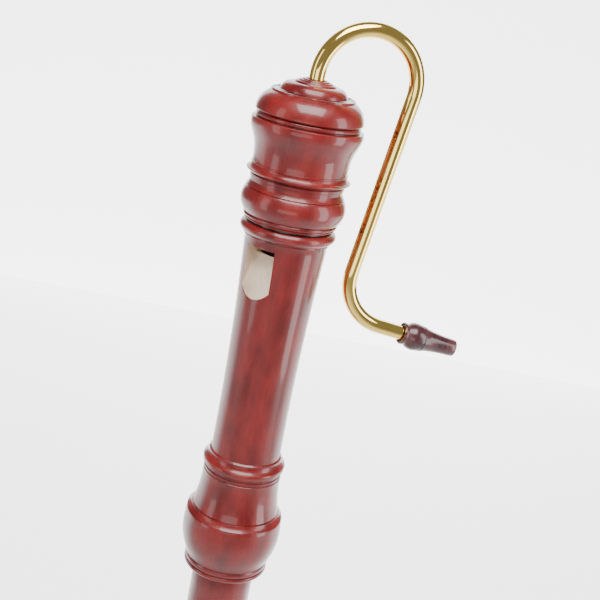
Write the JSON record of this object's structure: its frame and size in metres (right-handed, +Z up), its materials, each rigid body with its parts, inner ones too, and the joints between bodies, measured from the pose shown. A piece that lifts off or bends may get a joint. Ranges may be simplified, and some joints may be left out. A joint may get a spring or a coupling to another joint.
{
  "type": "bass recorder",
  "caption": "Turned wooden bass recorder with a bent brass crook and dark mouthpiece, windowed head joint, sprung keys, thumb rest and strap ring.",
  "frame": {"origin": "on the bore's axis at the foot joint's end face", "axes": "+Z up the bore towards the cap, -Y the way the window and finger holes face"},
  "size_m": [0.1135, 0.1297, 0.9902],
  "materials": {
    "red_maple": "glossy stained",
    "cedar": "bare",
    "cork": "cork sheet",
    "crook_brass": "polished",
    "key_brass": "polished",
    "rosewood": "satin",
    "pad_leather": "kid leather",
    "steel": "ground"
  },
  "bodies": {
    "foot": {"foot_joint": "red_maple", "low_f_key_axle": "steel", "low_f_key_post_lower": "key_brass", "low_f_key_post_upper": "key_brass", "low_f_key_spring": "steel", "low_f_sharp_key_axle": "steel", "low_f_sharp_key_post_lower": "key_brass", "low_f_sharp_key_post_upper": "key_brass", "low_f_sharp_key_spring": "steel"},
    "lower_cork": {"lower_tenon_cork": "cork"},
    "middle": {"middle_joint": "red_maple", "thumb_rest_rail": "key_brass", "rail_screw_lower": "key_brass", "rail_screw_upper": "key_brass", "strap_plate": "key_brass", "strap_screw_lower": "key_brass", "strap_screw_upper": "key_brass", "third_key_axle": "steel", "third_key_post_lower": "key_brass", "third_key_post_upper": "key_brass", "third_key_spring": "steel", "sixth_key_axle": "steel", "sixth_key_post_lower": "key_brass", "sixth_key_post_upper": "key_brass", "sixth_key_spring": "steel"},
    "upper_cork": {"upper_tenon_cork": "cork"},
    "head": {"head_joint": "red_maple", "block": "cedar", "cap_tenon_cork": "cork"},
    "cap": {"cap": "red_maple"},
    "crook_sleeve": {"crook_cork": "cork"},
    "crook": {"crook": "crook_brass"},
    "mouthpiece_sleeve": {"mouthpiece_cork": "cork"},
    "mouthpiece": {"mouthpiece": "rosewood"},
    "third_key": {"third_key_lever": "key_brass", "third_key_pad": "pad_leather"},
    "sixth_key": {"sixth_key_lever": "key_brass", "sixth_key_pad": "pad_leather"},
    "low_f_key": {"low_f_key_lever": "key_brass", "low_f_key_pad": "pad_leather"},
    "low_f_sharp_key": {"low_f_sharp_key_lever": "key_brass", "low_f_sharp_key_pad": "pad_leather"},
    "thumb_rest": {"thumb_rest": "key_brass"},
    "thumb_rest_knob": {"thumb_rest_knob": "key_brass"},
    "strap_ring": {"strap_ring": "key_brass"}
  },
  "joints": [
    {"name": "middle_pull", "type": "slide", "parent": "foot", "child": "lower_cork", "axis": [0, 0, 1], "range_m": [0, 0.03]},
    {"name": "middle_turn", "type": "hinge", "parent": "lower_cork", "child": "middle", "pos_m": [0, 0, 0.18], "axis": [0, 0, 1], "range_deg": [-30, 30]},
    {"name": "head_turn", "type": "hinge", "parent": "middle", "child": "upper_cork", "pos_m": [0, 0, 0.66], "axis": [0, 0, 1], "range_deg": [-30, 30]},
    {"name": "head_pull", "type": "slide", "parent": "upper_cork", "child": "head", "axis": [0, 0, 1], "range_m": [0, 0.03]},
    {"name": "cap_lift", "type": "slide", "parent": "head", "child": "cap", "axis": [0, 0, 1], "range_m": [0, 0.03]},
    {"name": "crook_turn", "type": "hinge", "parent": "cap", "child": "crook_sleeve", "pos_m": [0, 0, 0.95], "axis": [0, 0, 1], "continuous": true},
    {"name": "crook_pull", "type": "slide", "parent": "crook_sleeve", "child": "crook", "axis": [0, 0, 1], "range_m": [0, 0.03]},
    {"name": "mouthpiece_turn", "type": "hinge", "parent": "crook", "child": "mouthpiece_sleeve", "pos_m": [0.05352, 0.06539, 0.80809], "axis": [0.6227, 0.7608, -0.183], "continuous": true},
    {"name": "mouthpiece_pull", "type": "slide", "parent": "mouthpiece_sleeve", "child": "mouthpiece", "axis": [0.6227, 0.7608, -0.183], "range_m": [0, 0.02]},
    {"name": "third_key_press", "type": "hinge", "parent": "middle", "child": "third_key", "pos_m": [0.0216, -0.00962, 0.435], "axis": [0, 0, -1], "range_deg": [0, 8], "stiffness_Nm_per_rad": 0.05, "springref_deg": -5.73},
    {"name": "sixth_key_press", "type": "hinge", "parent": "middle", "child": "sixth_key", "pos_m": [0.02108, -0.00939, 0.226], "axis": [0, 0, -1], "range_deg": [0, 8], "stiffness_Nm_per_rad": 0.05, "springref_deg": -5.73},
    {"name": "low_f_key_press", "type": "hinge", "parent": "foot", "child": "low_f_key", "pos_m": [0.02171, -0.00967, 0.084], "axis": [0, 0, -1], "range_deg": [0, 8], "stiffness_Nm_per_rad": 0.05, "springref_deg": -5.73},
    {"name": "low_f_sharp_key_press", "type": "hinge", "parent": "foot", "child": "low_f_sharp_key", "pos_m": [-0.02171, -0.00967, 0.0615], "axis": [0, 0, 1], "range_deg": [0, 8], "stiffness_Nm_per_rad": 0.05, "springref_deg": -5.73},
    {"name": "thumb_rest_slide", "type": "slide", "parent": "middle", "child": "thumb_rest", "axis": [0, 0, 1], "range_m": [-0.008, 0.008]},
    {"name": "thumb_rest_knob_turn", "type": "hinge", "parent": "thumb_rest", "child": "thumb_rest_knob", "pos_m": [0, 0.02628, 0.3], "axis": [0, 1, 0], "continuous": true},
    {"name": "strap_ring_swing", "type": "hinge", "parent": "middle", "child": "strap_ring", "pos_m": [0, 0.02458, 0.52], "axis": [1, 0, 0], "range_deg": [0, 120]}
  ]
}
